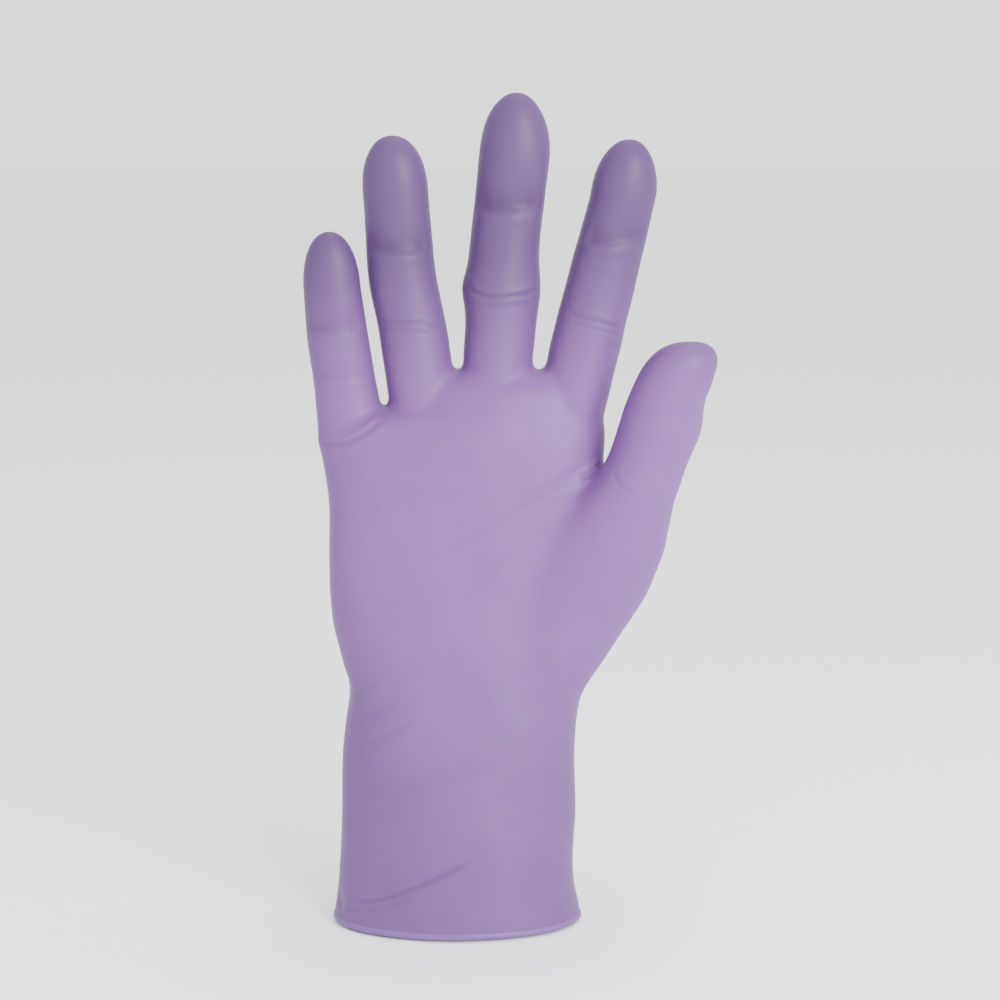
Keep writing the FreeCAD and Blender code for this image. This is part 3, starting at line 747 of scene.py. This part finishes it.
# the palm and the mount of the thumb, which swings about the edge of the palm
THUMB_SIDE = Vector((0.745, -0.656, 0.119))
MOUNT = Vector((0, 0, 100))
MOUNT_BEND = (34.9, 41.4)
bend(film_piece("glove_palm"), "hand", "thumb_base", MOUNT + THUMB_SIDE * MOUNT_BEND[0],
     MOUNT + THUMB_SIDE * MOUNT_BEND[1], "hand", "thumb_web_film", "thumb_base")
start, end = (up(*KNUCKLE_CUT, step) for step in KNUCKLE_BEND)
bend(film_piece("glove_knuckle"), "hand", "knuckle_band", start, end,
     "knuckle_film", "knuckle_band")
(root_start, root_end), (tip_start, tip_end) = (
    [up(*THUMB_LINE, step) for step in steps] for steps in THUMB_BENDS)
bend(film_piece("glove_thumb_root"), "thumb_base", "thumb_lower", root_start, root_end,
     "thumb_base_film", "thumb_lower")
bend(film_piece("glove_thumb_tip"), "thumb_lower", "thumb_tip", tip_start, tip_end,
     "thumb_end_film", "thumb_tip")
for name, (spot, way, _, bends) in FINGER_LINES.items():
    bodies = ("knuckle_band", f"{name}_lower", f"{name}_middle", f"{name}_tip")
    films = (f"{name}_base_film", f"{name}_mid_film", f"{name}_end_film")
    for k, part in enumerate(("root", "middle", "tip")):
        start, end = bends[k]
        bend(film_piece(f"glove_{name}_{part}"), bodies[k], bodies[k + 1],
             up(spot, way, start), up(spot, way, end), films[k], bodies[k + 1])

# ---------------------------------------------------------------------------------------------
# The bead: the film's own edge, rolled up on itself at the opening. Geometry nodes sweep the
# outline of the roll, whose outer turn ends in a small step, along the film's edge.
BEAD = 1.15          # radius of the roll
BEAD_RISE = 0.18     # how far the roll stands off the surface under it
BEAD_INSET = 0.70    # how far its middle lies inside the film's edge
LOOSENESS = 0.45     # how unevenly it is rolled
edge_points = np.unique(corners[label == "glove_cuff"])
edge_points = edge_points[np.abs(skin[edge_points, 2] - RIM) < 1e-3]
ring = skin[edge_points]
ring = ring[np.argsort(np.arctan2(ring[:, 1], ring[:, 0]))]
ring[:, :2] *= 1 - BEAD_INSET / np.hypot(ring[:, 0], ring[:, 1])[:, None]
ring[:, 2] = BEAD + BEAD_RISE
bead_mesh = bpy.data.meshes.new("bead path")
bead_mesh.from_pydata((ring * MM).tolist(),
                      [(k, (k + 1) % len(ring)) for k in range(len(ring))], [])
bead = bpy.data.objects.new("glove_bead", bead_mesh)
bpy.context.collection.objects.link(bead)


def bead_nodes():
    """Sweeps the outline of the roll along a mesh path."""
    tree = bpy.data.node_groups.new("rolled bead", "GeometryNodeTree")
    tree.interface.new_socket("Edge", in_out="INPUT", socket_type="NodeSocketGeometry")
    tree.interface.new_socket("Radius", in_out="INPUT", socket_type="NodeSocketFloat")
    tree.interface.new_socket("Looseness", in_out="INPUT", socket_type="NodeSocketFloat")
    tree.interface.new_socket("Bead", in_out="OUTPUT", socket_type="NodeSocketGeometry")
    new = tree.nodes.new
    into, out = new("NodeGroupInput"), new("NodeGroupOutput")
    path, even = new("GeometryNodeMeshToCurve"), new("GeometryNodeResampleCurve")
    even.inputs["Count"].default_value = 420
    outline = new("GeometryNodeCurvePrimitiveCircle")
    outline.inputs["Resolution"].default_value = 28
    place, parts = new("GeometryNodeInputPosition"), new("ShaderNodeSeparateXYZ")
    angle, turn = new("ShaderNodeMath"), new("ShaderNodeMapRange")
    # the roll's outline winds outwards once around, and ends in the step of its last turn
    angle.operation = "ARCTAN2"
    turn.inputs["From Min"].default_value = -math.pi
    turn.inputs["From Max"].default_value = math.pi
    turn.inputs["To Min"].default_value = 0.90
    turn.inputs["To Max"].default_value = 1.06
    grow, roll = new("ShaderNodeVectorMath"), new("GeometryNodeSetPosition")
    grow.operation = "SCALE"
    sweep = new("GeometryNodeCurveToMesh")
    noise, centre = new("ShaderNodeTexNoise"), new("ShaderNodeVectorMath")
    noise.inputs["Scale"].default_value = 110
    centre.operation = "SUBTRACT"
    centre.inputs[1].default_value = (0.5, 0.5, 0.5)
    small, loosen = new("ShaderNodeVectorMath"), new("GeometryNodeSetPosition")
    small.operation = "SCALE"
    smooth, real = new("GeometryNodeSetShadeSmooth"), new("GeometryNodeRealizeInstances")
    coat = new("GeometryNodeSetMaterial")
    # the bead's material, whose lighter colour is partly a painted highlight
    coat.inputs["Material"].default_value = rolled
    link(tree, into.outputs["Edge"], path.inputs["Mesh"])
    link(tree, into.outputs["Radius"], outline.inputs["Radius"])
    link(tree, into.outputs["Looseness"], small.inputs["Scale"])
    link(tree, path.outputs["Curve"], even.inputs["Curve"])
    link(tree, place.outputs[0], parts.inputs[0])
    link(tree, parts.outputs["Y"], angle.inputs[0])
    link(tree, parts.outputs["X"], angle.inputs[1])
    link(tree, angle.outputs[0], turn.inputs["Value"])
    link(tree, place.outputs[0], grow.inputs[0])
    link(tree, turn.outputs[0], grow.inputs["Scale"])
    link(tree, outline.outputs["Curve"], roll.inputs["Geometry"])
    link(tree, grow.outputs[0], roll.inputs["Position"])
    link(tree, even.outputs["Curve"], sweep.inputs["Curve"])
    link(tree, roll.outputs["Geometry"], sweep.inputs["Profile Curve"])
    link(tree, sweep.outputs["Mesh"], loosen.inputs["Geometry"])
    link(tree, noise.outputs["Color"], centre.inputs[0])
    link(tree, centre.outputs[0], small.inputs[0])
    link(tree, small.outputs[0], loosen.inputs["Offset"])
    link(tree, loosen.outputs["Geometry"], smooth.inputs["Geometry"])
    link(tree, smooth.outputs["Geometry"], real.inputs[0])
    link(tree, real.outputs[0], coat.inputs["Geometry"])
    link(tree, coat.outputs[0], out.inputs[0])
    return tree


sweeping = bead.modifiers.new("roll", "NODES")
sweeping.node_group = bead_nodes()
sizes = {"Radius": BEAD * MM, "Looseness": LOOSENESS * MM}
for item in sweeping.node_group.interface.items_tree:
    if item.name in sizes:
        sweeping[item.identifier] = sizes[item.name]
rolled_mesh = bpy.data.meshes.new_from_object(
    bead.evaluated_get(bpy.context.evaluated_depsgraph_get()))
bead.modifiers.remove(sweeping)
bead.data = rolled_mesh
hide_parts("rolled_bead")
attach(bead, "cuff")

# ---------------------------------------------------------------------------------------------
# Stage: a pale floor, soft light from the front right and above, a weaker one from the left.
floor_mesh = bpy.data.meshes.new("floor")
floor_mesh.from_pydata([(-30, -30, 0), (30, -30, 0), (30, 30, 0), (-30, 30, 0)], [], [(0, 1, 2, 3)])
floor = bpy.data.objects.new("stage_floor", floor_mesh)
floor.location.z = -0.0004
bpy.context.collection.objects.link(floor)
pale = bpy.data.materials.new("pale floor")
pale.use_nodes = True
pale.node_tree.nodes["Principled BSDF"].inputs["Base Color"].default_value = (0.94, 0.94, 0.945, 1)
pale.node_tree.nodes["Principled BSDF"].inputs["Roughness"].default_value = 0.9
floor_mesh.materials.append(pale)

world = bpy.data.worlds.new("studio")
bpy.context.scene.world = world
world.use_nodes = True
world.node_tree.nodes["Background"].inputs["Color"].default_value = (0.97, 0.97, 1.0, 1)
world.node_tree.nodes["Background"].inputs["Strength"].default_value = 1.9


def softbox(name, place, size, power):
    """An area light that faces the middle of the glove."""
    light = bpy.data.lights.new(name, "AREA")
    light.size = size
    light.energy = power
    lamp = bpy.data.objects.new(name, light)
    lamp.location = place
    lamp.rotation_mode = "QUATERNION"
    lamp.rotation_quaternion = (Vector((0, 0, 0.12)) - Vector(place)).to_track_quat("-Z", "Y")
    bpy.context.collection.objects.link(lamp)


softbox("key light", (0.56, -0.90, 0.42), 0.50, 23.0)
softbox("fill light", (-0.75, -0.70, 0.30), 0.80, 1.0)
softbox("top light", (0.10, 0.10, 1.10), 0.70, 4.0)

target = Vector((0.0118, 0.0, 0.1211))
reach, rise = 0.70, math.radians(8)
eye = bpy.data.cameras.new("camera")
eye.sensor_width = 36
eye.lens = 89.7
eye.clip_start = 0.01
camera = bpy.data.objects.new("camera", eye)
camera.location = target + Vector((0, -reach * math.cos(rise), reach * math.sin(rise)))
camera.rotation_euler = (math.pi / 2 - rise, 0, 0)
bpy.context.collection.objects.link(camera)
bpy.context.scene.camera = camera
